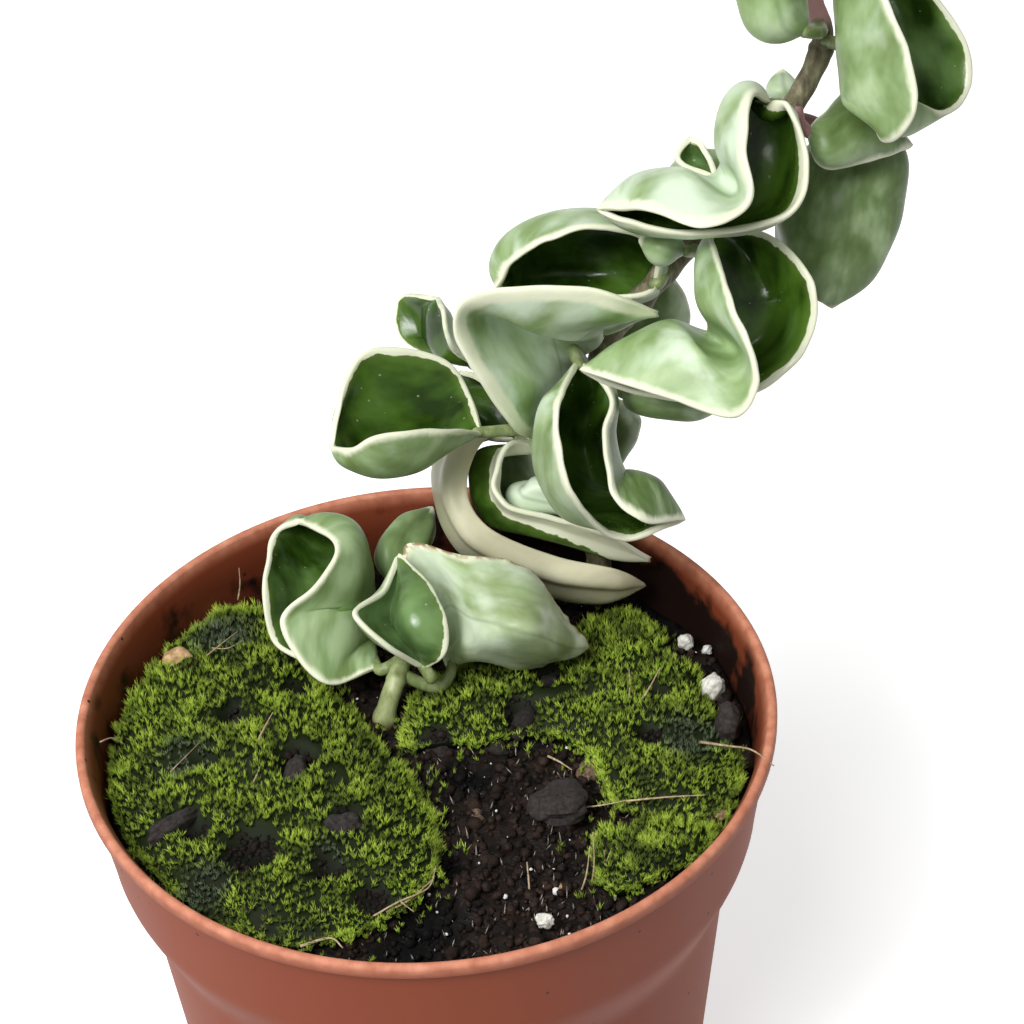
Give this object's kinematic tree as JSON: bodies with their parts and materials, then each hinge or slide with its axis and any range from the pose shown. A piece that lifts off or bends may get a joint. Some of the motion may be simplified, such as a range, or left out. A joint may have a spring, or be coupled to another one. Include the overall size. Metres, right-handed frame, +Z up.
{
  "type": "potted trailing plant",
  "caption": "Potted waxy-leaved vine with folded, curled variegated leaves along a leaning stem, in a round stepped plastic nursery pot with mossy soil",
  "frame": {"origin": "centre of the pot's flat base, on the surface it stands on", "axes": "+Z up, -Y towards the front of the plant as pictured, +X to its right"},
  "size_m": [0.1451, 0.1255, 0.2166],
  "materials": {
    "pot_plastic": "satin injection-moulded polypropylene, terracotta coloured",
    "potting_soil": "damp dark peat and composted bark",
    "living_moss": "low green cushion moss",
    "pebble_stone": "worn tan pebble",
    "perlite": "white expanded perlite grains",
    "bark_chip": "wet composted bark chips",
    "woody_stem": "grey-brown corky stem",
    "green_stem": "smooth young green stem",
    "waxy_leaf": "thick waxy leaf, dark glossy upper side, pale mottled underside, cream margin"
  },
  "bodies": {
    "root": {"pot": "pot_plastic", "soil": "potting_soil", "moss_left": "living_moss", "moss_right": "living_moss", "moss_front": "living_moss", "pebble": "pebble_stone", "perlite_right": "perlite", "perlite_back": "perlite", "perlite_front": "perlite", "bark_left": "bark_chip", "bark_centre": "bark_chip", "bark_front": "bark_chip", "bark_round": "bark_chip", "bark_wall": "bark_chip", "bark_shoot": "bark_chip", "vine_stem": "woody_stem", "side_shoot_stem": "green_stem", "leaf_upper_fold": "waxy_leaf", "leaf_middle_fold": "waxy_leaf", "leaf_scoop": "waxy_leaf", "leaf_hood": "waxy_leaf", "leaf_tongue": "waxy_leaf", "leaf_wing": "waxy_leaf", "leaf_wing_back": "waxy_leaf", "leaf_nook": "waxy_leaf", "leaf_loop": "waxy_leaf", "leaf_inner": "waxy_leaf", "leaf_skirt": "waxy_leaf", "leaf_drape": "waxy_leaf", "leaf_bract": "waxy_leaf", "leaf_crest": "waxy_leaf", "leaf_crest_left": "waxy_leaf", "leaf_peek_upper": "waxy_leaf", "leaf_peek_stem": "waxy_leaf", "leaf_small_middle": "waxy_leaf", "leaf_under_middle": "waxy_leaf", "leaf_pot_left": "waxy_leaf", "leaf_pot_centre": "waxy_leaf", "leaf_pot_shell": "waxy_leaf", "leaf_pot_back": "waxy_leaf", "leaf_back_1": "waxy_leaf", "leaf_back_2": "waxy_leaf", "leaf_back_3": "waxy_leaf", "leaf_back_4": "waxy_leaf", "leaf_back_5": "waxy_leaf"}
  },
  "joints": []
}
